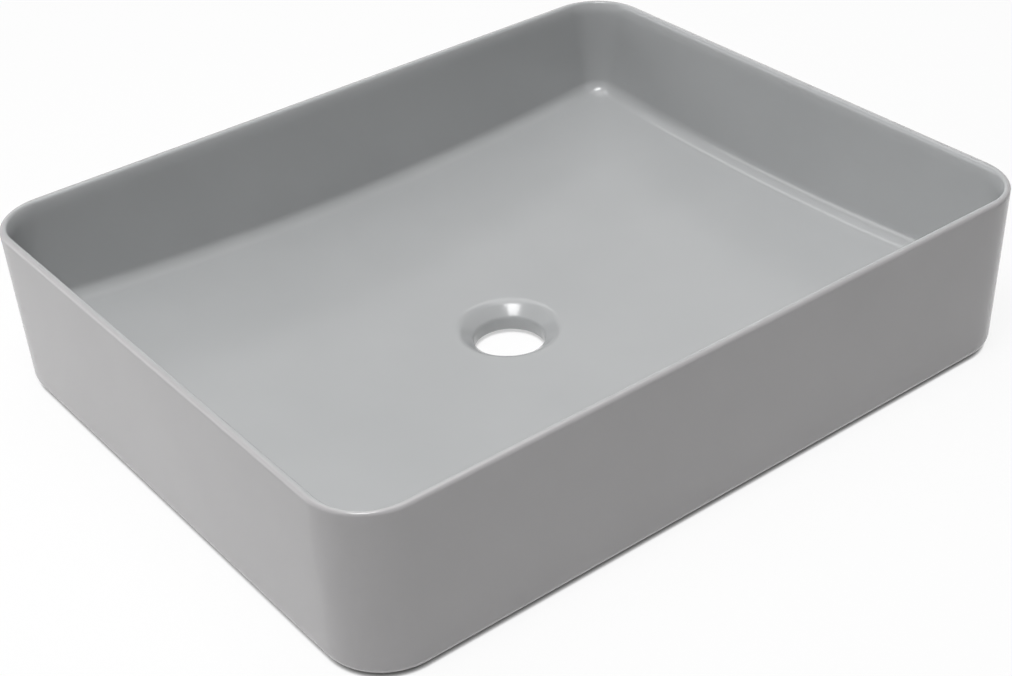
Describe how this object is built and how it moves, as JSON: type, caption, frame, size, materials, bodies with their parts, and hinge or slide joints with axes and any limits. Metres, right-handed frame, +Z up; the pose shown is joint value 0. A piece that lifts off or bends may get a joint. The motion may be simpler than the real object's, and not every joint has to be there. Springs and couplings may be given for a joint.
{
  "type": "countertop basin",
  "caption": "Rectangular countertop vessel basin with thin upright walls, rounded corners, a shallow dished floor and a central outlet, standing on small silicone pads.",
  "frame": {"origin": "on the counter surface under the middle of the outlet, at the bottom centre of the box", "axes": "+X along the long side, +Y towards the back, +Z up out of the bowl"},
  "size_m": [0.4998, 0.4, 0.11],
  "materials": {
    "grey_glaze": "satin matt grey glaze",
    "silicone_pad": "translucent grey silicone"
  },
  "bodies": {
    "root": {"basin_body": "grey_glaze", "pad_front_left": "silicone_pad", "pad_front_right": "silicone_pad", "pad_back_left": "silicone_pad", "pad_back_right": "silicone_pad"}
  },
  "joints": []
}
